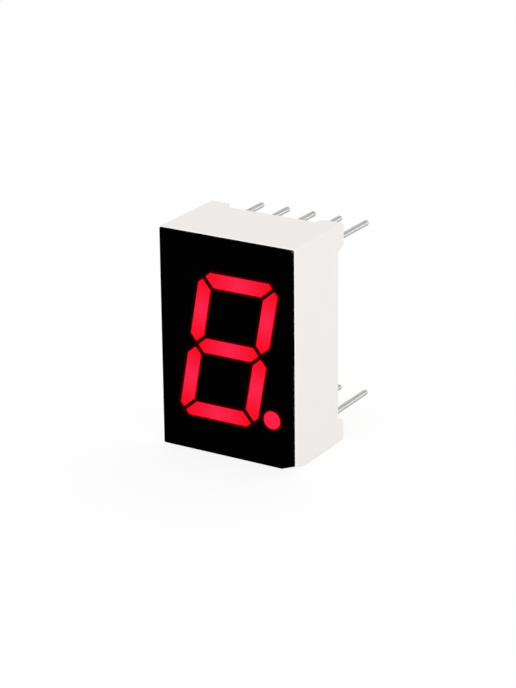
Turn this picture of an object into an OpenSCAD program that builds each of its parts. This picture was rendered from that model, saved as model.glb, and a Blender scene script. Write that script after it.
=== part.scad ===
// Single digit seven segment LED display, through-hole, ten pins.
// The digit faces -Y and stands upright along +Z. The origin is on the floor under the middle of the
// whole part, pins included. Depths are measured backwards from the face.

/* [Housing] */
// Width of the housing
body_w = 12.7; // [11.9:0.1:20]
// Height of the housing
body_h = 19; // [18.2:0.1:30]
// Depth from the face to the seating plane, feet included
body_d = 8; // [7.4:0.1:12]
// Thickness of the outer walls
wall_t = 0.8; // [0.5:0.05:0.9]
// Thickness of the front plate where the moulding is cored out
plate_t = 1.1; // [0.6:0.1:2]
// Radius of the four long outer edges
edge_r = 0.12; // [0.06:0.02:0.6]
// Chamfer round the front edge
front_c = 0.05; // [0.02:0.01:0.3]

/* [Feet] */
// Height of the corner feet behind the rear rim
foot_h = 0.9; // [0.4:0.1:1.5]
// Length of each leg of a foot at its tip
foot_l = 1.8; // [1:0.1:3]
// How much longer a foot is at its root than at its tip
foot_ramp = 0.45; // [0:0.05:1]

/* [Bevelled corner] */
// Length of the bevel along the bottom edge of the face
bevel_x = 1.4; // [0.5:0.1:2]
// Height of the bevel up the right edge of the face
bevel_z = 0.52; // [0.2:0.02:1]
// How far the bevel runs back along the housing
bevel_d = 1.8; // [0.5:0.1:3]

/* [Face film] */
// Thickness of the black film
film_t = 0.1; // [0.05:0.01:0.2]
// Gap between the edge of the film and the edge of the front plate
film_gap = 0.01; // [0:0.01:0.1]

/* [Digit] */
// Width of the digit before it is slanted
digit_w = 7.44; // [6:0.02:8]
// Height of the digit
digit_h = 12.7; // [10:0.1:13]
// Offset of the digit to the right of the housing's middle
digit_x = 0.13; // [-0.3:0.01:0.3]
// Offset of the digit above the housing's middle
digit_z = -0.05; // [-0.3:0.01:0.3]
// Slant of the digit
slant = 10; // [0:1:12]
// Width of a segment
seg_w = 1.25; // [0.9:0.05:1.5]
// Gap between neighbouring segments
seg_gap = 0.34; // [0.2:0.02:0.5]
// Leg of the bevel across the digit's four outer corners
seg_bevel = 0.95; // [0.6:0.05:1.2]
// Corner radius of a segment
seg_r = 0.12; // [0.04:0.02:0.2]
// Diameter of the decimal point
dot_d = 1.55; // [1:0.05:1.7]
// Distance from the decimal point's middle to the digit's unslanted right side
dot_gap = 1.29; // [1.1:0.01:1.5]
// Height of the decimal point's middle above the digit's foot
dot_rise = 1.04; // [0.8:0.01:1.3]

/* [Reflector] */
// Length of a light well where it meets the board
well_l = 2; // [1.6:0.1:2.4]
// Width of a light well where it meets the board
well_w = 1; // [0.8:0.05:1.2]
// How far outside its window a well's tapered walls start
well_land = 0.04; // [0.02:0.01:0.1]
// Diameter of the decimal point's well where it meets the board
dot_well_d = 1.35; // [1.2:0.05:1.5]
// Thickness of the moulding between a well and a cored-out pocket
web_t = 0.7; // [0.4:0.05:1]
// Corner radius of the cored-out pockets
core_r = 0.25; // [0.1:0.05:0.4]

/* [Board] */
// Depth from the face to the front of the board
board_at = 5; // [4.5:0.1:5.2]
// Thickness of the board
board_t = 1; // [0.6:0.1:1.2]
// Gap between the board and the walls
board_gap = 0.05; // [0.02:0.01:0.1]
// Thickness of the tracks
track_t = 0.05; // [0.03:0.01:0.1]
// Width of the tracks
track_w = 0.35; // [0.25:0.05:0.45]
// Diameter of the pads round the pins
pad_d = 0.8; // [0.7:0.02:0.84]

/* [Chips and wires] */
// Side of a chip
chip_w = 0.3; // [0.2:0.02:0.36]
// Height of a chip
chip_h = 0.25; // [0.15:0.01:0.3]
// Distance from the middle of a well to its chip
chip_out = 0.4; // [0.3:0.02:0.45]
// Distance from the middle of a well to its bonding pad
bond_out = 0.45; // [0.3:0.02:0.5]
// Diameter of the bonding wires
wire_d = 0.06; // [0.05:0.01:0.08]

/* [Pins] */
// Diameter of the tinned tails
pin_d = 0.5; // [0.4:0.02:0.6]
// Thickness of the tin on the tails
tin_t = 0.01; // [0.005:0.005:0.02]
// Distance from the seating plane back to where the tin starts
tin_start = 0.2; // [0:0.05:0.4]
// Distance between neighbouring pins of a row
pin_pitch = 2.54; // [2:0.01:2.54]
// Distance between the two rows
row_pitch = 15.24; // [15:0.01:15.6]
// Length of the pins behind the seating plane
pin_out = 6.3; // [3:0.1:8]
// Diameter of a pin's head
head_d = 0.76; // [0.66:0.02:0.84]
// Thickness of a pin's head
head_t = 0.15; // [0.1:0.01:0.3]
// Gap round a pin in the board
pin_gap = 0.03; // [0.01:0.01:0.05]
// Height of the solder behind the board
solder_h = 0.35; // [0.2:0.05:0.4]

/* [Rear seal] */
// Depth of the seal's surface below the rear rim
seal_sink = 0.35; // [0.1:0.05:0.5]
// Height that the seal creeps up the walls and the pins
creep = 0.16; // [0.08:0.01:0.2]

/* [Hidden] */
$fn = 48;
ROW_PINS = 5;
PINS = [for (i = [1:2 * ROW_PINS]) i];
// Each lamp: name, outline, side left or right, side below or above, chip's end of the well, pin
LAMPS = [
  ["a", "bar", 1, 1, -1, 7],
  ["b", "post", 1, 1, -1, 6],
  ["c", "post", 1, -1, 1, 4],
  ["d", "bar", 1, -1, 1, 2],
  ["e", "post", -1, -1, 1, 1],
  ["f", "post", -1, 1, -1, 9],
  ["g", "waist", 1, 1, 1, 10],
  ["point", "dot", 1, -1, 1, 5]
];
COMMON_PINS = [3, 8];
NAMES = [for (l = LAMPS) l[0]];

// Depths from the face
rim_at = body_d - foot_h;
seal_at = rim_at - seal_sink;
board_back = board_at + board_t;
track_at = board_at - track_t;
chip_at = track_at - chip_h;
head_at = track_at - head_t;
tip_at = body_d + pin_out;
tail_at = body_d + tin_start;
shank_d = pin_d - 2 * tin_t;
face_y = -tip_at / 2;

// Inside of the walls
pocket_w = body_w - 2 * wall_t;
pocket_h = body_h - 2 * wall_t;
pocket_r = 0.3;
mid_z = body_h / 2;
over = 1;

// Digit, upright and measured from its middle, before it is slanted
half_w = digit_w / 2;
half_h = digit_h / 2;
tip_gap = seg_gap / sqrt(2);
bevel_near = (seg_bevel - tip_gap) / 2;
bevel_far = (seg_bevel + tip_gap) / 2;
lean = tan(slant);
arc_steps = 3;

// Pockets cored out of the moulding
gallery_gap = 0.15;
gallery_in = row_pitch / 2 - head_d / 2 - gallery_gap;
side_min = 0.7;
side_reach = gallery_in - web_t - abs(digit_z);

// Bonding pads, chips and wire ends
bond_pad_d = 0.42;
chip_pad_d = 0.5;
lane_turn = 1;
mesa_in = 0.03;
mesa_t = 0.05;
ball_d = 2.2 * wire_d;
ball_t = 0.8 * wire_d;
loop_r = (chip_out + bond_out) / 2;
loop_at = chip_at - ball_t;

// ---------- Placing and extruding ----------

// A flat outline, seen from the front, between two depths
module slab(from, to) {
  translate([0, face_y + to, 0]) rotate([90, 0, 0]) linear_extrude(to - from) children();
}

// A profile in width and depth, run all the way up the housing
module run_up() {
  translate([0, face_y, mid_z]) linear_extrude(2 * body_h, center = true) children();
}

// A profile in height and depth, run all the way across the housing
module run_across() {
  translate([0, face_y, mid_z]) rotate([0, -90, 0]) linear_extrude(2 * body_w, center = true)
    children();
}

// A round bar that starts at a depth and runs back
module rod(at, length, d) {
  translate([0, at, 0]) rotate([-90, 0, 0]) cylinder(h = length, d = d);
}

module rounded_plate(w, h, r) {
  translate([0, mid_z]) {
    square([w - 2 * r, h], center = true);
    square([w, h - 2 * r], center = true);
    for (x = [-1, 1], z = [-1, 1]) translate([x * (w / 2 - r), z * (h / 2 - r)]) circle(r);
  }
}

// ---------- Outlines of the digit ----------

function unit(v) = v / norm(v);

// The points of a rounded corner at q between its neighbours p and s
function corner(p, q, s, r) =
  let (
    a = unit(p - q),
    b = unit(s - q),
    half = acos(a * b) / 2,
    middle = q + unit(a + b) * r / sin(half),
    start = unit(q + a * r / tan(half) - middle),
    end = unit(q + b * r / tan(half) - middle),
    turn = 180 - 2 * half
  )
  [for (i = [0:arc_steps]) let (f = i / arc_steps)
    middle + r * (start * sin((1 - f) * turn) + end * sin(f * turn)) / sin(turn)];

function rounded(points, r) =
  let (n = len(points))
  [for (i = [0:n - 1]) each corner(points[(i + n - 1) % n], points[i], points[(i + 1) % n], r)];

// A point of the upright digit on the slanted one
function slanted(p) = [digit_x + p[0] + p[1] * lean, mid_z + digit_z + p[1]];

// The top bar, which keeps half the gap from the mitre at each end
function bar() =
  let (inner = half_w - seg_w - tip_gap, outer = half_w - bevel_far, top = half_w - seg_bevel)
  [[-inner, half_h - seg_w], [inner, half_h - seg_w], [outer, half_h - bevel_near],
    [top, half_h], [-top, half_h], [-outer, half_h - bevel_near]];

// The upper right post, pointed where it meets the waist
function post() = [
  [half_w - seg_w, half_h - seg_w - tip_gap], [half_w - seg_w, tip_gap + seg_w / 2],
  [half_w - seg_w / 2, tip_gap], [half_w, tip_gap + seg_w / 2], [half_w, half_h - seg_bevel],
  [half_w - bevel_near, half_h - bevel_far]
];

// The middle bar, pointed at both ends
function waist() =
  let (tip = half_w - seg_w / 2 - tip_gap, shoulder = tip - seg_w / 2)
  [[-tip, 0], [-shoulder, -seg_w / 2], [shoulder, -seg_w / 2], [tip, 0],
    [shoulder, seg_w / 2], [-shoulder, seg_w / 2]];

// ---------- Lamps ----------

function lamp(name) = LAMPS[search([name], LAMPS)[0]];
function shape(name) = lamp(name)[1];
function side(name) = lamp(name)[4];
function dot_middle() = slanted([half_w + dot_gap, dot_rise - half_h]);

function outline_points(name) =
  [for (p = shape(name) == "bar" ? bar() : shape(name) == "post" ? post() : waist())
    slanted([lamp(name)[2] * p[0], lamp(name)[3] * p[1]])];

// Which way a lamp runs: bars lie flat, posts and the point follow the slant
function run_angle(name) = shape(name) == "bar" || shape(name) == "waist" ? 0 : 90 - slant;
function along(name) = [cos(run_angle(name)), sin(run_angle(name))];
function across(name) = [-sin(run_angle(name)), cos(run_angle(name))];

// The middle and the half length of an outline in one direction
function middle_in(points, way) = (max([for (p = points) p * way]) + min([for (p = points) p * way])) / 2;
function reach_in(points, way) = (max([for (p = points) p * way]) - min([for (p = points) p * way])) / 2;

function lamp_middle(name) =
  shape(name) == "dot" ? dot_middle() :
    let (points = outline_points(name))
    along(name) * middle_in(points, along(name)) + across(name) * middle_in(points, across(name));

function chip_point(name) = lamp_middle(name) + along(name) * side(name) * chip_out;
function bond_point(name) = lamp_middle(name) - along(name) * side(name) * bond_out;

// Moves a piece that is drawn along X at its depth to its lamp
module at_lamp(name) {
  translate([lamp_middle(name)[0], face_y, lamp_middle(name)[1]]) rotate([0, -run_angle(name), 0])
    children();
}

module window(name) {
  if (shape(name) == "dot") translate(dot_middle()) circle(d = dot_d);
  else polygon(rounded(outline_points(name), seg_r));
}

// A prism that is straight through the film and then draws in towards the board
module taper(reach, foot) {
  mouth = reach + well_land;
  linear_extrude(2 * digit_h, center = true)
    polygon([[-mouth, -over], [mouth, -over], [mouth, film_t], [foot, board_at],
      [foot, board_at + over], [-foot, board_at + over], [-foot, board_at], [-mouth, film_t]]);
}

// The space that a lamp lights, from the face to the board
module well(name) {
  if (shape(name) == "dot") at_lamp(name) {
    rod(0, film_t, dot_d);
    translate([0, film_t, 0]) rotate([-90, 0, 0])
      cylinder(h = board_at - film_t, d1 = dot_d, d2 = dot_well_d);
  }
  else intersection() {
    slab(0, board_at) window(name);
    at_lamp(name) taper(reach_in(outline_points(name), along(name)), well_l / 2);
    at_lamp(name) rotate([0, -90, 0])
      taper(reach_in(outline_points(name), across(name)), well_w / 2);
  }
}

// ---------- Housing ----------

// Half width or half height of the housing against depth, with the chamfered front edge
module front_profile(half) {
  polygon([[-half, film_t + front_c], [front_c - half, film_t], [half - front_c, film_t],
    [half, film_t + front_c], [half, body_d], [-half, body_d]]);
}

// The space between two feet, with ramped ends
module foot_gap(half) {
  tip = half - foot_l;
  root = tip - foot_ramp;
  polygon([[-root, rim_at], [root, rim_at], [tip, body_d], [tip, body_d + over],
    [-tip, body_d + over], [-tip, body_d]]);
}

// A block whose underside is the plane through the three ends of the bevelled corner
module corner_bevel() {
  normal = unit([1 / bevel_x, -1 / bevel_d, -1 / bevel_z]);
  size = 4 * max(bevel_x, bevel_d, bevel_z);
  translate([body_w / 2 - bevel_x, face_y, 0])
    rotate([0, acos(normal[2]), atan2(normal[1], normal[0])])
      translate([-size / 2, -size / 2, 0]) cube(size);
}

module housing_block() {
  intersection() {
    slab(film_t, body_d) rounded_plate(body_w, body_h, edge_r);
    run_up() front_profile(body_w / 2);
    run_across() front_profile(body_h / 2);
  }
}

// Pocket inside one loop of the digit
module loop_core(up) {
  half = half_w - seg_w - web_t;
  low = seg_w / 2 + web_t;
  high = half_h - seg_w - web_t;
  polygon(rounded([for (p = [[-half, low], [half, low], [half, high], [-half, high]])
    slanted([p[0], up * p[1]])], core_r));
}

// Pocket beside the digit, from the wall to the nearest post
module side_core(right) {
  room = pocket_w / 2 - half_w - web_t - right * digit_x;
  limit = (room - side_min) / max(lean, 0.001);
  dot_top = dot_rise - half_h + dot_d / 2 + web_t;
  low = right > 0 ? dot_top : max(-side_reach, -limit);
  high = right > 0 ? min(side_reach, limit) : side_reach;
  edge = half_w + web_t;
  wall = pocket_w / 2;
  heights = [low, high];
  inner = [for (v = heights) slanted([right * edge, v])];
  polygon(rounded([[right * wall, inner[0][1]], inner[0], inner[1], [right * wall, inner[1][1]]],
    core_r));
}

// Pocket over the heads of one row of pins
module gallery(up) {
  high = pocket_h / 2;
  translate([-pocket_w / 2, mid_z + (up > 0 ? gallery_in : -high)])
    square([pocket_w, high - gallery_in]);
}

module reflector_shell() color("whitesmoke") difference() {
  housing_block();
  corner_bevel();
  run_up() foot_gap(body_w / 2);
  run_across() foot_gap(body_h / 2);
  slab(track_at, body_d + over) rounded_plate(pocket_w, pocket_h, pocket_r);
  slab(plate_t, board_at) {
    for (up = [-1, 1]) {
      loop_core(up);
      gallery(up);
    }
    for (right = [-1, 1]) side_core(right);
  }
  for (n = NAMES) well(n);
}

// ---------- Face ----------

module face_film() color("black") difference() {
  edge = 2 * (front_c + film_gap);
  slab(0, film_t) difference() {
    rounded_plate(body_w - edge, body_h - edge, edge_r);
    for (n = NAMES) window(n);
  }
  corner_bevel();
}

module light_guide(name) color("red") difference() {
  well(name);
  track(name);
  track_common();
  led_chip(name);
  bond_wire(name);
}

// ---------- Board ----------

// Pins 1 to 5 run left to right along the bottom, and 6 to 10 right to left along the top
function pin_point(i) =
  let (middle = (ROW_PINS + 1) / 2, low = i <= ROW_PINS)
  [pin_pitch * (low ? i - middle : ROW_PINS + middle - i), mid_z + (low ? -1 : 1) * row_pitch / 2];

module at_pins(pins = PINS) {
  for (i = pins) translate([pin_point(i)[0], face_y, pin_point(i)[1]]) children();
}

module pin_holes() {
  for (i = PINS) translate(pin_point(i)) circle(d = shank_d + 2 * pin_gap);
}

module circuit_board() color("burlywood") slab(board_at, board_back) difference() {
  rounded_plate(pocket_w - 2 * board_gap, pocket_h - 2 * board_gap, pocket_r);
  pin_holes();
}

module stroke(from, to) {
  way = to - from;
  translate(from) rotate(atan2(way[1], way[0])) translate([0, -track_w / 2])
    square([norm(way), track_w]);
}

module route(points) {
  for (i = [1:len(points) - 1]) stroke(points[i - 1], points[i]);
  for (p = points) translate(p) circle(d = track_w);
}

// Where a track turns by 45 degrees on its way to a pin's column
function elbow(from, to) =
  [to[0], from[1] + sign(to[1] - from[1]) * abs(to[0] - from[0])];

// The middle bar's track keeps level until it is beside its pin's column
function track_start(name) =
  name == "g" ? [bond_point(name), [pin_point(lamp(name)[5])[0] + lane_turn, bond_point(name)[1]]] :
    [bond_point(name)];

module track(name) color("goldenrod") slab(track_at, board_at) difference() {
  start = track_start(name);
  end = pin_point(lamp(name)[5]);
  union() {
    route(concat(start, [elbow(start[len(start) - 1], end), end]));
    translate(bond_point(name)) circle(d = bond_pad_d);
    translate(end) circle(d = pad_d);
  }
  pin_holes();
}

// One trunk between the two common pins, with a branch to each chip
module track_common() color("goldenrod") slab(track_at, board_at) difference() {
  ends = [for (i = COMMON_PINS) pin_point(i)];
  trunk = chip_point("g")[0];
  union() {
    route([ends[0], [trunk, ends[0][1] + abs(trunk)], [trunk, ends[1][1] - abs(trunk)], ends[1]]);
    for (n = NAMES) {
      translate(chip_point(n)) circle(d = chip_pad_d);
      if (n != "point" && n != "g") route([chip_point(n), [trunk, chip_point(n)[1]]]);
    }
    route([chip_point("point"), [chip_point("point")[0], chip_point("c")[1]], chip_point("c")]);
    for (p = ends) translate(p) circle(d = pad_d);
  }
  pin_holes();
}

// ---------- Chips and wires ----------

module centred_box(side, at, length) {
  translate([-side / 2, at, -side / 2]) cube([side, length, side]);
}

module led_chip(name) color("firebrick") at_lamp(name)
  translate([side(name) * chip_out, 0, 0]) {
    centred_box(chip_w, chip_at + mesa_t, chip_h - mesa_t);
    centred_box(chip_w - 2 * mesa_in, chip_at, mesa_t);
  }

// A loop from the top of the chip, down a straight leg to the pad
module bond_wire(name) color("gold") at_lamp(name) {
  chip_x = side(name) * chip_out;
  pad_x = -side(name) * bond_out;
  translate([(chip_x + pad_x) / 2, loop_at, 0]) rotate([0, 0, 180])
    rotate_extrude(angle = 180) translate([loop_r, 0]) circle(d = wire_d);
  translate([chip_x, 0, 0]) rod(loop_at, ball_t, ball_d);
  translate([pad_x, 0, 0]) {
    rod(loop_at, track_at - loop_at, wire_d);
    rod(track_at - ball_t, ball_t, ball_d);
  }
}

// ---------- Pins, solder and seal ----------

// A headed pin, bare where it is held and tinned where it stands free
module pin(i) color("silver") at_pins([i]) {
  rod(tail_at, tip_at - pin_d / 2 - tail_at, pin_d);
  translate([0, tip_at - pin_d / 2, 0]) sphere(d = pin_d);
  rod(track_at, tail_at - track_at, shank_d);
  rod(head_at, head_t, head_d);
}

// A hollow curve of the given size in the corner between two walls
module cove(size) {
  middle = 1.2 * size;
  difference() {
    square(size);
    translate([middle, middle]) circle(norm([middle, middle - size]));
  }
}

module solder_fillet() {
  translate([0, board_back, 0]) rotate([-90, 0, 0]) rotate_extrude()
    polygon([[shank_d / 2, 0], [pad_d / 2, 0], [(shank_d + pad_d) / 4, solder_h / 3],
      [shank_d / 2 + pin_gap, solder_h], [shank_d / 2, solder_h]]);
}

module solder_fillets() color("lightgray") at_pins() solder_fillet();

// The seal fills the back of the housing and creeps up the walls and the pins
module rear_seal() color("mistyrose") difference() {
  union() {
    slab(board_back, seal_at) rounded_plate(pocket_w, pocket_h, pocket_r);
    intersection() {
      slab(seal_at, seal_at + creep) rounded_plate(pocket_w, pocket_h, pocket_r);
      union() {
        for (x = [0, 1]) mirror([x, 0, 0])
          run_up() translate([-pocket_w / 2, seal_at]) cove(creep);
        translate([0, 0, mid_z]) for (z = [0, 1]) mirror([0, 0, z]) translate([0, 0, -mid_z])
          run_across() translate([-pocket_h / 2, seal_at]) cove(creep);
      }
    }
    at_pins() translate([0, seal_at, 0]) rotate([-90, 0, 0]) rotate_extrude()
      translate([shank_d / 2, 0]) cove(creep);
  }
  at_pins() rod(board_at, body_d, shank_d);
  at_pins() solder_fillet();
}

// ---------- Assembly ----------

reflector_shell();
face_film();
circuit_board();
rear_seal();
solder_fillets();
track_common();
for (n = NAMES) {
  track(n);
  light_guide(n);
  led_chip(n);
  bond_wire(n);
}
for (i = PINS) pin(i);
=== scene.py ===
"""Looks of a single digit seven segment display, in metres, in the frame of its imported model."""

import logging
import math
from abc import ABC, abstractmethod
from dataclasses import dataclass
from enum import Enum
from typing import Any

import bpy
from mathutils import Matrix, Vector


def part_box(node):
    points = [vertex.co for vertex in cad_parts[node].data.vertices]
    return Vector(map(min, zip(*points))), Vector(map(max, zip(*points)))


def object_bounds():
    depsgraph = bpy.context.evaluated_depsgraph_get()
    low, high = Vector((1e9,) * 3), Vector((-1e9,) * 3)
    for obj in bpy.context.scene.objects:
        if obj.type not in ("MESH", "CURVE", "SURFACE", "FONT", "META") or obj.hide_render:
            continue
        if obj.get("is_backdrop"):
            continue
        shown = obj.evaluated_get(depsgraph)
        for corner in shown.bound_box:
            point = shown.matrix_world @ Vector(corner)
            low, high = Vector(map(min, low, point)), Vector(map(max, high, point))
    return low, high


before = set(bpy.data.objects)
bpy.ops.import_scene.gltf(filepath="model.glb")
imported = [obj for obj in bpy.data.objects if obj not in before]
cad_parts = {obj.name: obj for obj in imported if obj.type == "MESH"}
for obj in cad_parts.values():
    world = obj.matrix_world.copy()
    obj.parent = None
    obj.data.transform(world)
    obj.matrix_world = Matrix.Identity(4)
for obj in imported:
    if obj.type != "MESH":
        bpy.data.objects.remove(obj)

log = logging.getLogger("display")

MM = 0.001

# Turns a sum or a difference of two coordinates into a distance from a line at 45 degrees.
DIAGONAL = math.sqrt(0.5)

# The middle of a pattern and of a ramp.
EVEN = 0.5

Colour = tuple[float, float, float]
Stretch = tuple[float, float, float]
Stops = list[tuple[float, Colour]]

BLACK: Colour = (0.0, 0.0, 0.0)
WHITE: Colour = (1.0, 1.0, 1.0)


class Axis(Enum):
    """An axis of the row frame."""

    X = 0
    Y = 1
    Z = 2


class Step(Enum):
    """A step of maths on values."""

    ADD = "ADD"
    SUBTRACT = "SUBTRACT"
    MULTIPLY = "MULTIPLY"
    DIVIDE = "DIVIDE"
    ABSOLUTE = "ABSOLUTE"
    MINIMUM = "MINIMUM"
    MAXIMUM = "MAXIMUM"
    SINE = "SINE"
    EXPONENT = "EXPONENT"


class Lamp(Enum):
    """The eight lamps of the digit, by the ending of their nodes' names."""

    A = "a"
    B = "b"
    C = "c"
    D = "d"
    E = "e"
    F = "f"
    G = "g"
    POINT = "point"


def dimmed(colour: Colour, share: float) -> Colour:
    """A share of a colour's light."""
    return tuple(share * part for part in colour)


# ---------- Shader maths ----------


@dataclass(frozen=True)
class Signal:
    """A value that runs through a finish's nodes and can stand in a Python expression.

    Attributes:
        nodes: The tree that the value is in.
        socket: The output that gives it.
    """

    nodes: "Nodes"
    socket: bpy.types.NodeSocket

    def __add__(self, other: "Value") -> "Signal":
        """The sum."""
        return self.nodes.maths(Step.ADD, self, other)

    def __radd__(self, other: "Value") -> "Signal":
        """The sum, with the signal on the right."""
        return self.nodes.maths(Step.ADD, other, self)

    def __sub__(self, other: "Value") -> "Signal":
        """The difference."""
        return self.nodes.maths(Step.SUBTRACT, self, other)

    def __rsub__(self, other: "Value") -> "Signal":
        """The difference, with the signal on the right."""
        return self.nodes.maths(Step.SUBTRACT, other, self)

    def __mul__(self, other: "Value") -> "Signal":
        """The product."""
        return self.nodes.maths(Step.MULTIPLY, self, other)

    def __rmul__(self, other: "Value") -> "Signal":
        """The product, with the signal on the right."""
        return self.nodes.maths(Step.MULTIPLY, other, self)

    def __truediv__(self, other: "Value") -> "Signal":
        """The quotient."""
        return self.nodes.maths(Step.DIVIDE, self, other)

    def __rtruediv__(self, other: "Value") -> "Signal":
        """The quotient, with the signal on the right."""
        return self.nodes.maths(Step.DIVIDE, other, self)

    def __abs__(self) -> "Signal":
        """The size without its sign."""
        return self.nodes.maths(Step.ABSOLUTE, self)

    def least(self, other: "Value") -> "Signal":
        """The smaller of the two."""
        return self.nodes.maths(Step.MINIMUM, self, other)

    def most(self, other: "Value") -> "Signal":
        """The larger of the two."""
        return self.nodes.maths(Step.MAXIMUM, self, other)

    def sine(self) -> "Signal":
        """The sine of the value in radians."""
        return self.nodes.maths(Step.SINE, self)

    def within(self) -> "Signal":
        """The value held between 0 and 1."""
        return self.most(0.0).least(1.0)

    def fading(self, length: float) -> "Signal":
        """1 up to 0, then falling by a factor of e over each length."""
        return self.nodes.maths(Step.EXPONENT, self.most(0.0) / -length)


Value = Signal | float | int
Plug = Signal | bpy.types.NodeSocket | float | int | tuple | Vector
Plugs = dict[str | int, Plug]


@dataclass(frozen=True)
class Pattern:
    """An irregular pattern of soft patches.

    Attributes:
        size: The size of a patch in metres.
        detail: How many finer layers it has.
        roughness: How strong the finer layers are.
        stretch: A factor for each axis, below 1 where the patches are drawn out.
    """

    size: float
    detail: float = 2.0
    roughness: float = 0.5
    stretch: Stretch = (1.0, 1.0, 1.0)


@dataclass(frozen=True)
class Span:
    """A value that follows a signal.

    Attributes:
        start: The value where the signal is 0.
        rise: How much it gains where the signal is 1.
    """

    start: float
    rise: float

    def over(self, signal: Signal) -> Signal:
        """The value over a signal."""
        return self.start + signal * self.rise


class Nodes:
    """The node tree of one finish, filled through one method."""

    # The Mix node's sockets for colours. Their names are shared with those for other types.
    MIX_SHARE, MIX_BASE, MIX_TOP, MIXED = 0, 6, 7, 2

    def __init__(self, tree: bpy.types.NodeTree) -> None:
        """Empties the tree of a material or of the world, and keeps it."""
        self.tree = tree
        tree.nodes.clear()

    def node(self, kind: str, settings: dict[str, Any] | None = None,
             sockets: Plugs | None = None) -> bpy.types.Node:
        """Adds a node.

        Args:
            kind: The node's type.
            settings: Its settings, set first. A ramp's stops are a list of (place, colour).
            sockets: A value or a link for each socket, by name or by number.

        Returns:
            The new node.
        """
        made = self.tree.nodes.new(kind)
        for name, setting in (settings or {}).items():
            if name == "stops":
                self._fill_ramp(made.color_ramp, setting)
            else:
                setattr(made, name, setting)
        for name, plug in (sockets or {}).items():
            self._plug(made.inputs[name], plug)
        return made

    def _plug(self, socket: bpy.types.NodeSocket, plug: Plug) -> None:
        """Links a socket or sets its value.

        Args:
            socket: The input.
            plug: A signal, another node's output, or a plain value.
        """
        if isinstance(plug, Signal):
            self.tree.links.new(plug.socket, socket)
        elif isinstance(plug, bpy.types.NodeSocket):
            self.tree.links.new(plug, socket)
        elif socket.type == "RGBA":
            socket.default_value = (*plug, 1.0)
        else:
            socket.default_value = plug

    @staticmethod
    def _fill_ramp(ramp: bpy.types.ColorRamp, stops: Stops) -> None:
        """Puts the stops on a ramp.

        Args:
            ramp: The ramp.
            stops: Each stop's place and colour.
        """
        while len(ramp.elements) < len(stops):
            ramp.elements.new(EVEN)
        for element, (place, colour) in zip(ramp.elements, stops):
            element.position = place
            element.color = (*colour, 1.0)

    def maths(self, step: Step, *values: Value) -> Signal:
        """The result of a step of maths on one or two values."""
        made = self.node("ShaderNodeMath", {"operation": step.value}, dict(enumerate(values)))
        return Signal(self, made.outputs["Value"])

    def mix(self, share: Value, base: Plug, top: Plug) -> bpy.types.NodeSocket:
        """Lays one colour over another.

        Args:
            share: How much of the top colour shows.
            base: The colour below.
            top: The colour above.

        Returns:
            The mixed colour.
        """
        made = self.node("ShaderNodeMix", {"data_type": "RGBA"},
                         {self.MIX_SHARE: share, self.MIX_BASE: base, self.MIX_TOP: top})
        return made.outputs[self.MIXED]

    def place(self) -> bpy.types.NodeSocket:
        """The point on the surface, in the row frame."""
        return self.node("ShaderNodeTexCoord").outputs["Object"]

    def stretched(self, stretch: Stretch, size: float) -> bpy.types.NodeSocket:
        """The point on the surface, counted in patches of a pattern.

        Args:
            stretch: A factor for each axis.
            size: The size of a patch in metres.

        Returns:
            The scaled point.
        """
        made = self.node("ShaderNodeVectorMath", {"operation": "MULTIPLY"},
                         {0: self.place(), 1: tuple(factor / size for factor in stretch)})
        return made.outputs["Vector"]

    def coordinate(self, axis: Axis) -> Signal:
        """One coordinate of the point on the surface."""
        made = self.node("ShaderNodeSeparateXYZ", None, {"Vector": self.place()})
        return Signal(self, made.outputs[axis.value])

    def distance(self, point: Vector) -> Signal:
        """How far the surface is from a point.

        Args:
            point: The point.

        Returns:
            The distance in metres.
        """
        made = self.node("ShaderNodeVectorMath", {"operation": "DISTANCE"},
                         {0: self.place(), 1: tuple(point)})
        return Signal(self, made.outputs["Value"])

    def noise(self, pattern: Pattern) -> Signal:
        """Soft irregular patches.

        Args:
            pattern: Their size and character.

        Returns:
            A value between 0 and 1, about EVEN.
        """
        made = self.node("ShaderNodeTexNoise", {"noise_dimensions": "3D"},
                         {"Vector": self.stretched(pattern.stretch, pattern.size), "Scale": 1.0,
                          "Detail": pattern.detail, "Roughness": pattern.roughness})
        return Signal(self, made.outputs[0])

    def cells(self, size: float) -> Signal:
        """The distance from the middles of scattered cells.

        Args:
            size: The size of a cell in metres.

        Returns:
            A value that is 0 at each middle.
        """
        made = self.node("ShaderNodeTexVoronoi", {"feature": "F1"},
                         {"Vector": self.stretched((1.0, 1.0, 1.0), size), "Scale": 1.0})
        return Signal(self, made.outputs["Distance"])

    def ramp(self, value: Value, stops: Stops) -> bpy.types.NodeSocket:
        """The colour for a value between 0 and 1, from a list of places and colours."""
        return self.node("ShaderNodeValToRGB", {"stops": stops}, {"Fac": value}).outputs["Color"]

    def bump(self, height: Value, depth: float,
             below: bpy.types.NodeSocket | None = None) -> bpy.types.NodeSocket:
        """A relief on the surface.

        Args:
            height: The height between 0 and 1.
            depth: The height of 1 in metres.
            below: A normal that the relief lies on.

        Returns:
            The bumped normal.
        """
        sockets: Plugs = {"Strength": 1.0, "Distance": depth, "Height": height}
        if below is not None:
            sockets["Normal"] = below
        return self.node("ShaderNodeBump", None, sockets).outputs["Normal"]

    def near_edge(self, low: Vector, high: Vector, width: float) -> Signal:
        """How close the surface is to an edge of a box.

        Args:
            low: The box's lowest corner.
            high: The box's highest corner.
            width: How far the band along an edge reaches.

        Returns:
            1 on an edge, falling to 0 at the width.
        """
        middle, half = (low + high) / 2, (high - low) / 2
        x, y, z = (half[a.value] - abs(self.coordinate(a) - middle[a.value]) for a in Axis)
        second = x.most(y).least(y.most(z)).least(z.most(x))
        return (1 - second / width).within()

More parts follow.
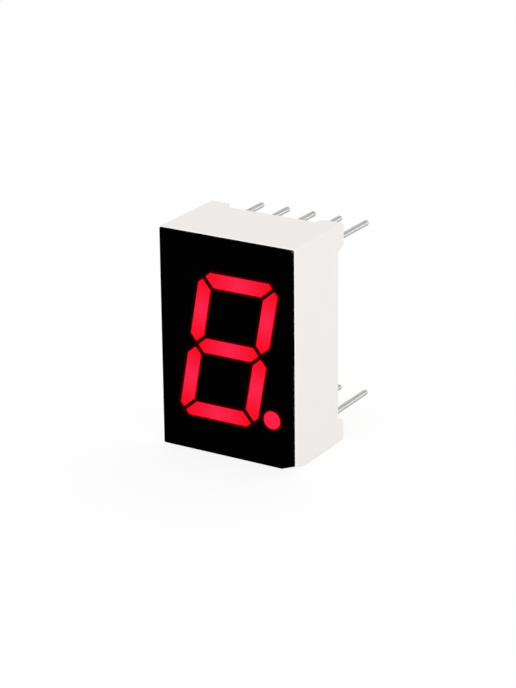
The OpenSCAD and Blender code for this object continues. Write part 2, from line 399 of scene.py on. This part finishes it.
    def background_rays(self) -> Signal:
        """Tells the rays that may see a background.

        Returns:
            1 for rays of the camera, of a gloss or through a clear piece.
        """
        path = self.node("ShaderNodeLightPath")
        camera, gloss, clear = (Signal(self, path.outputs[name]) for name in
                                ("Is Camera Ray", "Is Glossy Ray", "Is Transmission Ray"))
        return camera.most(gloss).most(clear)


# ---------- Outlines of the lamps ----------


@dataclass(frozen=True)
class Digit:
    """The outlines of the lamps on the face.

    Attributes:
        middle: The middle of the digit.
        half_w: Half its width, without its slant.
        half_h: Half its height.
        bar: The thickness of a segment.
        gap: How far a post's tip stands off the middle line.
        bevel: How much each outer corner is cut back.
        lean: The slant, as a share of the height.
        point: The middle of the decimal point on the face.
        point_radius: The radius of the decimal point.
    """

    middle: Vector
    half_w: float
    half_h: float
    bar: float
    gap: float
    bevel: float
    lean: float
    point: Vector
    point_radius: float

    @classmethod
    def measured(cls) -> "Digit":
        """Measures the boxes of the light guides.

        Returns:
            The digit.
        """
        boxes = {lamp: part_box(f"light_guide_{lamp.value}") for lamp in Lamp}
        middles = {lamp: (low + high) / 2 for lamp, (low, high) in boxes.items()}
        waist, post, point = boxes[Lamp.G], boxes[Lamp.B], boxes[Lamp.POINT]
        middle = middles[Lamp.G]
        span = middles[Lamp.A] - middles[Lamp.D]
        half_h = (boxes[Lamp.A][1].z - boxes[Lamp.D][0].z) / 2
        bar = waist[1].z - waist[0].z
        gap = post[0].z - middle.z
        return cls(
            middle=middle,
            half_w=(waist[1].x - waist[0].x) / 2 + bar / 2 + gap,
            half_h=half_h,
            bar=bar,
            gap=gap,
            bevel=2 * (half_h - (post[1].z - middle.z)) - gap,
            lean=span.x / span.z,
            point=Vector((middles[Lamp.POINT].x, point[0].y, middles[Lamp.POINT].z)),
            point_radius=(point[1].x - point[0].x) / 2,
        )

    def distances(self, nodes: Nodes) -> list[Signal]:
        """How far the surface lies outside the lamps.

        The slant is taken out first. The segments then mirror in both middles of the digit.

        Args:
            nodes: The tree that the signals are made in.

        Returns:
            A distance in metres from the bars, the posts, the waist and the point.
        """
        rise = nodes.coordinate(Axis.Z) - self.middle.z
        out = abs(nodes.coordinate(Axis.X) - self.middle.x - rise * self.lean)
        up = abs(rise)
        cut = (out + up - (self.half_w + self.half_h - self.bevel)) * DIAGONAL
        mitre = (out - up - (self.half_w - self.half_h)) * DIAGONAL
        back = self.gap * DIAGONAL
        half = self.bar / 2
        bars = (abs(up - (self.half_h - half)) - half).most(mitre + back).most(cut)
        aside = abs(out - (self.half_w - half))
        tips = (aside + self.gap - up) * DIAGONAL
        posts = (aside - half).most(back - mitre).most(cut).most(tips)
        ends = (out + up - (self.half_w - half - self.gap)) * DIAGONAL
        waist = (up - half).most(ends)
        return [bars, posts, waist, nodes.distance(self.point) - self.point_radius]


# ---------- Finishes ----------


@dataclass(frozen=True)
class Finish(ABC):
    """A surface finish that can be put on pieces.

    Attributes:
        name: The name of its material.
    """

    name: str

    def material(self) -> bpy.types.Material:
        """Makes the material.

        Returns:
            The material with its nodes.
        """
        made = bpy.data.materials.new(self.name)
        made.use_nodes = True
        nodes = Nodes(made.node_tree)
        surface = nodes.node("ShaderNodeBsdfPrincipled", None, self.sockets(nodes))
        nodes.node("ShaderNodeOutputMaterial", None, {"Surface": surface.outputs["BSDF"]})
        return made

    @abstractmethod
    def sockets(self, nodes: Nodes) -> Plugs:
        """The surface shader's values and links.

        Args:
            nodes: The tree that the finish is made in.

        Returns:
            A value or a link for each socket.
        """


@dataclass(frozen=True)
class MouldedPlastic(Finish):
    """White moulded plastic with a fine eroded grain and a painted highlight along its front
    edges.

    Attributes:
        low: The moulding's lowest corner.
        high: Its highest corner.
        colour: The plastic where it is palest.
        shade: The plastic where it is darkest.
        painted_highlight: The pale colour painted along the front edges as a highlight.
        patches: The broad cloudiness of the surface.
        flow: The marks of the melt, drawn out up the walls.
        grain: The fine grain of the mould.
        patch_share: How much the patches tint the plastic.
        flow_share: How much the flow marks tint it.
        tint_loss: What is taken off both, so that some of it stays dark.
        highlight_strength: How strong the painted highlight on the front edges is, over the
            patches.
        edge: The width of the edge band that carries the painted highlight.
        roughness: The roughness over the grain.
        edge_roughness: What the edges add to it, from the back to the front.
        gloss: The strength of the reflection.
        patch_depth: The height of the patches.
        grain_depth: The height of the grain.
    """

    low: Vector
    high: Vector
    colour: Colour = (0.888, 0.850, 0.822)
    shade: Colour = (0.866, 0.834, 0.808)
    # Pale colour painted along the front edges as a highlight of the front chamfer.
    painted_highlight: Colour = (0.965, 0.96, 0.955)
    patches: Pattern = Pattern(2.6 * MM, 4.0, 0.55)
    flow: Pattern = Pattern(0.9 * MM, 2.0, 0.5, (1.0, 0.25, 0.12))
    grain: Pattern = Pattern(0.07 * MM, 3.0, 0.6)
    patch_share: float = 0.7
    flow_share: float = 0.3
    tint_loss: float = 0.2
    highlight_strength: Span = Span(1.2, 1.4)
    edge: float = 0.24 * MM
    roughness: Span = Span(0.46, 0.1)
    edge_roughness: Span = Span(0.12, -0.2)
    gloss: float = 0.35
    patch_depth: float = 0.004 * MM
    grain_depth: float = 0.0011 * MM

    def sockets(self, nodes: Nodes) -> Plugs:
        """Patchy white, with grain and a painted highlight on the front edges.

        Args:
            nodes: The tree that the finish is made in.

        Returns:
            A value or a link for each socket.
        """
        patches, flow, grain = (nodes.noise(p) for p in (self.patches, self.flow, self.grain))
        tint = patches * self.patch_share + flow * self.flow_share - self.tint_loss
        plain = nodes.mix(tint.within(), self.shade, self.colour)
        edges = nodes.near_edge(self.low, self.high, self.edge)
        front = (1 - (nodes.coordinate(Axis.Y) - self.low.y) / self.edge).within()
        # Painted highlight: a pale band along the front edges that stands in for the light the
        # chamfer catches.
        painted_highlight = edges * front * self.highlight_strength.over(patches)
        relief = nodes.bump(patches, self.patch_depth)
        return {
            "Base Color": nodes.mix(painted_highlight.within(), plain, self.painted_highlight),
            "Roughness": self.roughness.over(grain) + edges * self.edge_roughness.over(front),
            "Specular IOR Level": self.gloss,
            "Normal": nodes.bump(grain, self.grain_depth, relief),
        }


@dataclass(frozen=True)
class PrintFilm(Finish):
    """Dead matte black film with a fine tooth, small nicks along its edge and a chipped corner.

    Attributes:
        low: The film's lowest corner.
        high: Its highest corner.
        colour: The film where it is clean.
        dust: The film where it is dusty.
        nick: What shows in a nick.
        tooth: The fine tooth of the print.
        haze: Where the dust lies.
        chips: Where the nicks are.
        edge: The width of the band with nicks.
        nick_level: How strong the pattern is where a nick starts.
        nick_contrast: How sharply a nick starts.
        chip: The size of the chipped corner.
        chip_ragged: How ragged the chip is.
        chip_contrast: How sharply it starts.
        painted_glow: A red glow painted as emission on the film round each window.
        painted_glow_length: How far the painted glow reaches before it falls by a factor of e.
        roughness: The roughness over the tooth.
        gloss: The strength of the reflection.
        tooth_depth: The height of the tooth.
    """

    low: Vector
    high: Vector
    colour: Colour = (0.0001, 0.0001, 0.0001)
    dust: Colour = (0.0006, 0.0005, 0.0005)
    nick: Colour = (0.15, 0.14, 0.115)
    tooth: Pattern = Pattern(0.05 * MM, 2.0, 0.6)
    haze: Pattern = Pattern(3.2 * MM, 3.0, 0.6)
    chips: Pattern = Pattern(0.5 * MM, 3.0, 0.7)
    edge: float = 0.1 * MM
    nick_level: float = 0.46
    nick_contrast: float = 9.0
    chip: float = 0.24 * MM
    chip_ragged: float = 1.8
    chip_contrast: float = 1.5
    # Red glow painted as emission on the film round the windows.
    painted_glow: Colour = (0.21, 0.0, 0.001)
    painted_glow_length: float = 0.065 * MM
    roughness: Span = Span(0.62, 0.2)
    gloss: float = 0.004
    tooth_depth: float = 0.0016 * MM

    def sockets(self, nodes: Nodes) -> Plugs:
        """Black with a trace of dust, a chipped corner and a red glow painted round the windows.

        Args:
            nodes: The tree that the finish is made in.

        Returns:
            A value or a link for each socket.
        """
        tooth, haze, chips = (nodes.noise(p) for p in (self.tooth, self.haze, self.chips))
        edges = nodes.near_edge(self.low, self.high, self.edge)
        corner = nodes.distance(Vector((self.high.x, self.low.y, self.high.z)))
        chipped = 1 - corner / self.chip + (tooth - EVEN) * self.chip_ragged
        nicked = (edges * chips - self.nick_level) * self.nick_contrast
        worn = nicked.most(chipped * self.chip_contrast).within()
        black = nodes.mix(haze, self.colour, self.dust)
        # Painted glow: the film emits red round each window, though it is no lamp.
        painted_glow_amount = sum(away.fading(self.painted_glow_length) for away in Digit.measured().distances(nodes))
        return {
            "Base Color": nodes.mix(worn, black, self.nick),
            "Roughness": self.roughness.over(tooth),
            "Specular IOR Level": self.gloss,
            "Emission Color": nodes.mix(painted_glow_amount.within(), BLACK, self.painted_glow),
            "Emission Strength": 1.0,
            "Normal": nodes.bump(tooth, self.tooth_depth),
        }


@dataclass(frozen=True)
class LitEpoxy(Finish):
    """Red diffusing epoxy over a burning chip, brightest over the middle of its well.

    Attributes:
        chip: The point of the face over the chip.
        reach: How far from it the glow is at its faintest.
        dyed: The epoxy's own colour where it is clear.
        cloudy: The share of that colour where it is cloudy.
        hot: The glow over the chip.
        middle: The glow at half the reach.
        cool: The glow at the reach.
        specks: The diffusing grains.
        cloud: The uneven mix of the epoxy.
        speck_share: How much the grains disturb the glow.
        cloud_share: How much the uneven mix disturbs it.
        roughness: The roughness over the grains.
        gloss: The strength of the reflection.
        speck_depth: The height of the grains.
    """

    chip: Vector
    reach: float
    dyed: Colour = (0.13, 0.0012, 0.004)
    cloudy: float = 0.8
    hot: Colour = (0.855, 0.0158, 0.069)
    middle: Colour = (0.845, 0.0062, 0.036)
    cool: Colour = (0.82, 0.0004, 0.0055)
    specks: Pattern = Pattern(0.06 * MM, 2.0, 0.6)
    cloud: Pattern = Pattern(0.55 * MM)
    speck_share: float = 0.1
    cloud_share: float = 0.16
    roughness: Span = Span(0.34, 0.14)
    gloss: float = 0.03
    speck_depth: float = 0.0008 * MM

    def sockets(self, nodes: Nodes) -> Plugs:
        """A glow that fades along the segment, with the sparkle of the diffusing grains.

        Args:
            nodes: The tree that the finish is made in.

        Returns:
            A value or a link for each socket.
        """
        specks, cloud = nodes.noise(self.specks), nodes.noise(self.cloud)
        uneven = (specks - EVEN) * self.speck_share
        away = nodes.distance(self.chip) / self.reach + uneven + (cloud - EVEN) * self.cloud_share
        glow = nodes.ramp(away.within(), [(0.0, self.hot), (EVEN, self.middle), (1.0, self.cool)])
        return {
            "Base Color": nodes.mix(cloud, self.dyed, dimmed(self.dyed, self.cloudy)),
            "Roughness": self.roughness.over(specks),
            "Specular IOR Level": self.gloss,
            "Emission Color": glow,
            "Emission Strength": 1.0,
            "Normal": nodes.bump(specks, self.speck_depth),
        }


@dataclass(frozen=True)
class TinnedSteel(Finish):
    """Bright tin plate on drawn wire, with streaks along the pins.

    Attributes:
        colour: The tin where it is bright.
        dull: The tin where it is dull.
        streaks: The drawing marks along a pin.
        patches: The uneven dip.
        streak_share: How much the streaks dull the tin.
        patch_share: How much the patches dull it.
        bright_share: What is taken off both, so that some of it stays bright.
        roughness: The roughness over the patches.
        streak_roughness: What the streaks add to it.
        streak_depth: The height of the streaks.
    """

    colour: Colour = (0.50, 0.497, 0.49)
    dull: Colour = (0.33, 0.33, 0.327)
    streaks: Pattern = Pattern(0.07 * MM, 3.0, 0.6, (1.0, 0.02, 1.0))
    patches: Pattern = Pattern(0.5 * MM, 3.0, 0.6)
    streak_share: float = 0.55
    patch_share: float = 0.75
    bright_share: float = 0.3
    roughness: Span = Span(0.18, 0.08)
    streak_roughness: float = 0.04
    streak_depth: float = 0.0004 * MM

    def sockets(self, nodes: Nodes) -> Plugs:
        """Grey metal with drawn streaks and duller patches.

        Args:
            nodes: The tree that the finish is made in.

        Returns:
            A value or a link for each socket.
        """
        streaks, patches = nodes.noise(self.streaks), nodes.noise(self.patches)
        dulled = streaks * self.streak_share + patches * self.patch_share - self.bright_share
        return {
            "Base Color": nodes.mix(dulled.within(), self.colour, self.dull),
            "Metallic": 1.0,
            "Roughness": self.roughness.over(patches) + streaks * self.streak_roughness,
            "Normal": nodes.bump(streaks, self.streak_depth),
        }


@dataclass(frozen=True)
class CastEpoxy(Finish):
    """Milky casting resin with a poured, gently waved surface and a few small bubbles.

    Attributes:
        colour: The resin where it is clear.
        deep: The resin where it is clouded.
        clouds: The cloudiness.
        waves: The waves that it set with.
        bubbles: How far apart the bubbles are.
        bubble_contrast: How much smaller than that they are.
        bubble_share: How much a bubble clouds the resin.
        roughness: The roughness over the clouds.
        gloss: The strength of the reflection.
        bubble_depth: The height of the bubbles.
        wave_depth: The height of the waves.
    """

    colour: Colour = (0.86, 0.80, 0.71)
    deep: Colour = (0.78, 0.70, 0.60)
    clouds: Pattern = Pattern(2.2 * MM, 3.0, 0.55)
    waves: Pattern = Pattern(3.5 * MM, 1.0, 0.4)
    bubbles: float = 1.3 * MM
    bubble_contrast: float = 9.0
    bubble_share: float = 0.4
    roughness: Span = Span(0.14, 0.1)
    gloss: float = 0.5
    bubble_depth: float = 0.012 * MM
    wave_depth: float = 0.12 * MM

    def sockets(self, nodes: Nodes) -> Plugs:
        """Clouded resin under a smooth skin.

        Args:
            nodes: The tree that the finish is made in.

        Returns:
            A value or a link for each socket.
        """
        clouds, waves = nodes.noise(self.clouds), nodes.noise(self.waves)
        bubbles = (1 - nodes.cells(self.bubbles) * self.bubble_contrast).within()
        clouded = (clouds + bubbles * self.bubble_share).within()
        relief = nodes.bump(waves, self.wave_depth)
        return {
            "Base Color": nodes.mix(clouded, self.colour, self.deep),
            "Roughness": self.roughness.over(clouds),
            "Specular IOR Level": self.gloss,
            "Normal": nodes.bump(bubbles, self.bubble_depth, relief),
        }


@dataclass(frozen=True)
class Laminate(Finish):
    """Bare glass-epoxy laminate with its weave showing through.

    Attributes:
        colour: The resin between the bundles.
        bundle: The bundles of glass.
        thread: The width of two bundles.
        weave_share: How much the weave shows.
        mottle: The uneven resin over it.
        roughness: The roughness over the weave.
        gloss: The strength of the reflection.
        weave_depth: The height of the weave.
    """

    colour: Colour = (0.56, 0.47, 0.26)
    bundle: Colour = (0.66, 0.60, 0.40)
    thread: float = 0.45 * MM
    weave_share: float = 0.4
    mottle: Pattern = Pattern(0.3 * MM, 3.0, 0.6)
    roughness: Span = Span(0.5, -0.12)
    gloss: float = 0.4
    weave_depth: float = 0.006 * MM

    def sockets(self, nodes: Nodes) -> Plugs:
        """Crossed bundles of glass in tan resin.

        Args:
            nodes: The tree that the finish is made in.

        Returns:
            A value or a link for each socket.
        """
        turn = math.tau / self.thread
        along, across = ((nodes.coordinate(axis) * turn).sine() for axis in (Axis.X, Axis.Z))
        woven = (along * across * self.weave_share + nodes.noise(self.mottle)).within()
        return {
            "Base Color": nodes.mix(woven, self.colour, self.bundle),
            "Roughness": self.roughness.over(woven),
            "Specular IOR Level": self.gloss,
            "Normal": nodes.bump(woven, self.weave_depth),
        }


@dataclass(frozen=True)
class SoftMetal(Finish):
    """A soft metal, plated, drawn or flowed.

    Attributes:
        colour: The metal where it is bright.
        dull: The metal where it is dull.
        grain: Its grain.
        patch: How many times wider a dull patch is.
        dulling: How dull the metal is, over the patches.
        roughness: The roughness over the grain.
        relief: The height of the grain.
    """

    colour: Colour = (0.83, 0.62, 0.3)
    dull: Colour = (0.62, 0.42, 0.17)
    grain: Pattern = Pattern(0.08 * MM, 3.0, 0.6)
    patch: float = 8.0
    dulling: Span = Span(-0.1, 1.2)
    roughness: Span = Span(0.25, 0.16)
    relief: float = 0.002 * MM

    def sockets(self, nodes: Nodes) -> Plugs:
        """Metal with a grain and duller patches.

        Args:
            nodes: The tree that the finish is made in.

        Returns:
            A value or a link for each socket.
        """
        grain = nodes.noise(self.grain)
        patches = nodes.noise(Pattern(self.grain.size * self.patch))
        return {
            "Base Color": nodes.mix(self.dulling.over(patches).within(), self.colour, self.dull),
            "Metallic": 1.0,
            "Roughness": self.roughness.over(grain),
            "Normal": nodes.bump(grain, self.relief),
        }


@dataclass(frozen=True)
class SawnCrystal(Finish):
    """A dark red crystal with the marks of the saw on its sides.

    Attributes:
        colour: The crystal.
        mark: The crystal in a saw mark.
        lines: The saw marks.
        roughness: The roughness over the marks.
        depth: The height of the marks.
    """

    colour: Colour = (0.35, 0.12, 0.10)
    mark: Colour = (0.22, 0.07, 0.06)
    lines: Pattern = Pattern(0.02 * MM, 2.0, 0.6, (0.15, 1.0, 0.15))
    roughness: Span = Span(0.25, 0.3)
    depth: float = 0.001 * MM

    def sockets(self, nodes: Nodes) -> Plugs:
        """Fine lines across the crystal.

        Args:
            nodes: The tree that the finish is made in.

        Returns:
            A value or a link for each socket.
        """
        lines = nodes.noise(self.lines)
        return {
            "Base Color": nodes.mix(lines, self.colour, self.mark),
            "Roughness": self.roughness.over(lines),
            "Normal": nodes.bump(lines, self.depth),
        }


# ---------- Sub-assemblies ----------


@dataclass
class SubAssembly(ABC):
    """A group of the frame's nodes that are finished together."""

    @abstractmethod
    def build(self) -> None:
        """Finishes every piece of the group."""

    def dress(self, finish: Finish, *nodes: str) -> None:
        """Gives nodes a finish, on one material.

        Args:
            finish: The finish.
            nodes: The nodes' names.
        """
        material = finish.material()
        for node in nodes:
            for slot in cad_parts[node].material_slots:
                slot.material = material
            log.info("%s wears %s", node, material.name)


@dataclass
class Housing(SubAssembly):
    """The white moulding and the black film on its face.

    Attributes:
        edge_radius: How much the moulding's edges are rounded.
        edge_angle: The least angle of an edge that is rounded, in degrees.
        edge_steps: How many faces the rounding has.
        weld: How far apart corners may be that are joined first.
    """

    edge_radius: float = 0.035 * MM
    edge_angle: float = 50.0
    edge_steps: int = 2
    weld: float = 0.0005 * MM

    def build(self) -> None:
        """Finishes the moulding and the film."""
        self.dress(MouldedPlastic("moulded_plastic", *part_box("reflector_shell")),
                   "reflector_shell")
        self.soften(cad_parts["reflector_shell"])
        self.dress(PrintFilm("print_film", *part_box("face_film")), "face_film")

    def soften(self, piece: bpy.types.Object) -> None:
        """Rounds a piece's sharp edges.

        Args:
            piece: The piece.
        """
        weld = piece.modifiers.new("weld", "WELD")
        weld.merge_threshold = self.weld
        bevel = piece.modifiers.new("rounding", "BEVEL")
        bevel.width = self.edge_radius
        bevel.segments = self.edge_steps
        bevel.limit_method = "ANGLE"
        bevel.angle_limit = math.radians(self.edge_angle)
        bevel.use_clamp_overlap = True
        bevel.harden_normals = True
        log.info("%s has its edges rounded", piece.name)


@dataclass
class LampWell(SubAssembly):
    """The light guide of one lamp, lit by its chip.

    Attributes:
        lamp: The lamp.
        least_reach: The least distance over which the glow fades.
    """

    lamp: Lamp
    least_reach: float = 2.6 * MM

    def build(self) -> None:
        """Lights the guide from the middle of its well."""
        name = self.lamp.value
        low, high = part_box(f"light_guide_{name}")
        size, middle = high - low, (low + high) / 2
        middle.y = low.y
        reach = max(size.x / 2, size.z / 2, self.least_reach)
        self.dress(LitEpoxy(f"lit_epoxy_{name}", middle, reach), f"light_guide_{name}")


@dataclass
class ChipsAndWires(SubAssembly):
    """The chips and the wires that are bonded to them.

    Attributes:
        lamps: The lamps that have them.
        crystal: The finish of the chips.
        gold: The finish of the wires.
    """

    lamps: tuple[Lamp, ...] = tuple(Lamp)
    crystal: Finish = SawnCrystal("sawn_crystal")
    gold: Finish = SoftMetal(
        "gold_wire", colour=(0.95, 0.75, 0.3), dull=(0.8, 0.58, 0.2),
        grain=Pattern(0.02 * MM, 3.0, 0.6), roughness=Span(0.16, 0.16), relief=0.0004 * MM)

    def build(self) -> None:
        """Finishes the chips and the wires."""
        self.dress(self.crystal, *(f"led_chip_{lamp.value}" for lamp in self.lamps))
        self.dress(self.gold, *(f"bond_wire_{lamp.value}" for lamp in self.lamps))


@dataclass
class CircuitBoard(SubAssembly):
    """The board, its tracks and the solder behind it.

    Attributes:
        tracks: The endings of the tracks' names.
        laminate: The finish of the board.
        plating: The finish of the tracks.
        solder: The finish of the fillets round the pins.
    """

    tracks: tuple[str, ...] = ("common", *(lamp.value for lamp in Lamp))
    laminate: Finish = Laminate("laminate")
    plating: Finish = SoftMetal("gold_flash")
    solder: Finish = SoftMetal(
        "flowed_solder", colour=(0.70, 0.71, 0.72), dull=(0.5, 0.51, 0.53),
        grain=Pattern(0.06 * MM, 3.0, 0.6), roughness=Span(0.28, 0.16), relief=0.003 * MM)

    def build(self) -> None:
        """Finishes the laminate, the tracks and the solder."""
        self.dress(self.laminate, "circuit_board")
        self.dress(self.plating, *(f"track_{track}" for track in self.tracks))
        self.dress(self.solder, "solder_fillets")


@dataclass
class PinRows(SubAssembly):
    """The two rows of tinned pins.

    Attributes:
        count: How many pins there are, numbered from 1.
        tin: The finish of the pins.
    """

    count: int = 10
    tin: Finish = TinnedSteel("tinned_steel")

    def build(self) -> None:
        """Finishes the pins."""
        self.dress(self.tin, *(f"pin_{number + 1}" for number in range(self.count)))


@dataclass
class RearSeal(SubAssembly):
    """The resin that closes the back.

    Attributes:
        resin: Its finish.
    """

    resin: Finish = CastEpoxy("cast_epoxy")

    def build(self) -> None:
        """Finishes the resin."""
        self.dress(self.resin, "rear_seal")


# ---------- Studio ----------


def direction(azimuth: float, elevation: float) -> Vector:
    """The unit vector to an azimuth from the front, towards +X, and an elevation, in degrees."""
    a, e = math.radians(azimuth), math.radians(elevation)
    return Vector((math.sin(a) * math.cos(e), -math.cos(a) * math.cos(e), math.sin(e)))


@dataclass
class AreaLamp:
    """A soft square lamp that looks at the object.

    Attributes:
        name: The lamp's name.
        azimuth: Degrees round from the front, towards +X.
        elevation: Degrees above the floor.
        distance: How far it hangs from the object.
        side: The length of its side.
        power: Its power in watts.
    """

    name: str
    azimuth: float
    elevation: float
    distance: float
    side: float
    power: float

    def build(self, target: Vector) -> None:
        """Hangs the lamp.

        Args:
            target: The point that it looks at.
        """
        data = bpy.data.lights.new(self.name, "AREA")
        data.shape = "SQUARE"
        data.size = self.side
        data.energy = self.power
        lamp = bpy.data.objects.new(self.name, data)
        bpy.context.scene.collection.objects.link(lamp)
        back = direction(self.azimuth, self.elevation)
        lamp.location = target + back * self.distance
        lamp.rotation_mode = "QUATERNION"
        lamp.rotation_quaternion = (-back).to_track_quat("-Z", "Y")
        log.info("lamp %s hangs", self.name)


@dataclass
class Studio:
    """A pale floor under soft even light.

    Attributes:
        floor_side: The length of the floor's side.
        floor_drop: How far it lies under the object.
        paper: The colour of its paper.
        fibre: The unevenness of the paper.
        fibre_dull: The share of its colour where it is dull.
        lift: How much of the floor the camera sees as a white glow.
        glow: The strength of that glow.
        sky: The strength of the light from all round.
        backdrop: The strength of the white behind the object.
        lamps: The lamps.
    """

    floor_side: float = 6.0
    floor_drop: float = 0.01 * MM
    paper: Colour = (0.86, 0.86, 0.86)
    fibre: Pattern = Pattern(20 * MM, 3.0)
    fibre_dull: float = 0.985
    lift: float = 0.8
    glow: float = 1.04
    sky: float = 0.93
    backdrop: float = 1.0
    lamps: tuple[AreaLamp, ...] = (
        AreaLamp("key", azimuth=70.0, elevation=22.0, distance=0.5, side=0.3, power=0.27),
        AreaLamp("fill", azimuth=10.0, elevation=12.0, distance=0.6, side=0.4, power=0.16),
        AreaLamp("rim", azimuth=143.0, elevation=3.0, distance=0.5, side=0.14, power=0.13),
    )

    def build(self, low: Vector, high: Vector) -> None:
        """Lays the floor and lights the object.

        Args:
            low: The object's lowest corner.
            high: The object's highest corner.
        """
        self.build_floor(low.z - self.floor_drop)
        self.build_sky()
        for lamp in self.lamps:
            lamp.build((low + high) / 2)

    def build_floor(self, height: float) -> None:
        """Lays the floor.

        Args:
            height: The height of its surface.
        """
        half = self.floor_side / 2
        corners = [(x, y, height) for x, y in
                   ((-half, -half), (half, -half), (half, half), (-half, half))]
        mesh = bpy.data.meshes.new("floor")
        mesh.from_pydata(corners, [], [tuple(range(len(corners)))])
        mesh.materials.append(self.floor_material())
        floor = bpy.data.objects.new("floor", mesh)
        bpy.context.scene.collection.objects.link(floor)
        floor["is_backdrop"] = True
        log.info("floor laid")

    def floor_material(self) -> bpy.types.Material:
        """Pale paper that the camera sees as white, with the object's shadow on it.

        Returns:
            The material.
        """
        made = bpy.data.materials.new("paper")
        made.use_nodes = True
        nodes = Nodes(made.node_tree)
        tone = nodes.mix(nodes.noise(self.fibre), self.paper, dimmed(self.paper, self.fibre_dull))
        paper = nodes.node("ShaderNodeBsdfDiffuse", None, {"Color": tone})
        white = nodes.node("ShaderNodeEmission", None, {"Color": WHITE, "Strength": self.glow})
        mixed = nodes.node("ShaderNodeMixShader", None,
                           {0: nodes.background_rays() * self.lift,
                            1: paper.outputs["BSDF"], 2: white.outputs["Emission"]})
        nodes.node("ShaderNodeOutputMaterial", None, {"Surface": mixed.outputs["Shader"]})
        return made

    def build_sky(self) -> None:
        """Surrounds the object with even light, white behind it."""
        world = bpy.data.worlds.new("studio")
        world.use_nodes = True
        nodes = Nodes(world.node_tree)
        light, white = (nodes.node("ShaderNodeBackground", None,
                                   {"Color": WHITE, "Strength": strength})
                        for strength in (self.sky, self.backdrop))
        mixed = nodes.node("ShaderNodeMixShader", None,
                           {0: nodes.background_rays(),
                            1: light.outputs["Background"], 2: white.outputs["Background"]})
        nodes.node("ShaderNodeOutputWorld", None, {"Surface": mixed.outputs["Shader"]})
        bpy.context.scene.world = world
        log.info("sky set")


@dataclass
class Viewpoint:
    """The camera, placed round a point near the middle of the object.

    Attributes:
        azimuth: Degrees round from the front, towards +X.
        elevation: Degrees above the floor.
        roll: Degrees that the camera is turned about its line of sight.
        aim: Where it looks, counted from the middle of the object's box.
        distance: How far it stands from there.
        focal_length: The focal length in millimetres.
        sensor: The sensor's longer side in millimetres.
        near: The nearest distance that it sees.
        far: The furthest.
    """

    azimuth: float = 31.256
    elevation: float = 20.585
    roll: float = -0.58
    aim: tuple[float, float, float] = (-0.6974 * MM, -1.1365 * MM, -1.6234 * MM)
    distance: float = 207.669 * MM
    focal_length: float = 130.319
    sensor: float = 36.0
    near: float = 0.005
    far: float = 20.0

    def build(self, middle: Vector) -> None:
        """Sets up the camera.

        Args:
            middle: The middle of the object's box.
        """
        data = bpy.data.cameras.new("camera")
        data.sensor_width = self.sensor
        data.lens = self.focal_length
        data.clip_start, data.clip_end = self.near, self.far
        camera = bpy.data.objects.new("camera", data)
        bpy.context.scene.collection.objects.link(camera)
        back = direction(self.azimuth, self.elevation)
        place = Matrix.Translation(middle + Vector(self.aim) + back * self.distance)
        turn = (-back).to_track_quat("-Z", "Y").to_matrix().to_4x4()
        roll = Matrix.Rotation(math.radians(self.roll), 4, "Z")
        camera.matrix_world = place @ (turn @ roll)
        bpy.context.scene.camera = camera
        log.info("camera set")


def main() -> None:
    """Finishes the display part by part and sets up the studio."""
    logging.basicConfig(level=logging.INFO, format="%(message)s")
    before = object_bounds()
    low, high = before
    bpy.context.scene.view_settings.view_transform = "Standard"
    parts: list[SubAssembly] = [Housing(), *(LampWell(lamp) for lamp in Lamp), ChipsAndWires(),
                                CircuitBoard(), PinRows(), RearSeal()]
    for part in parts:
        part.build()
    Studio().build(low, high)
    Viewpoint().build((low + high) / 2)


if __name__ == "__main__":
    main()
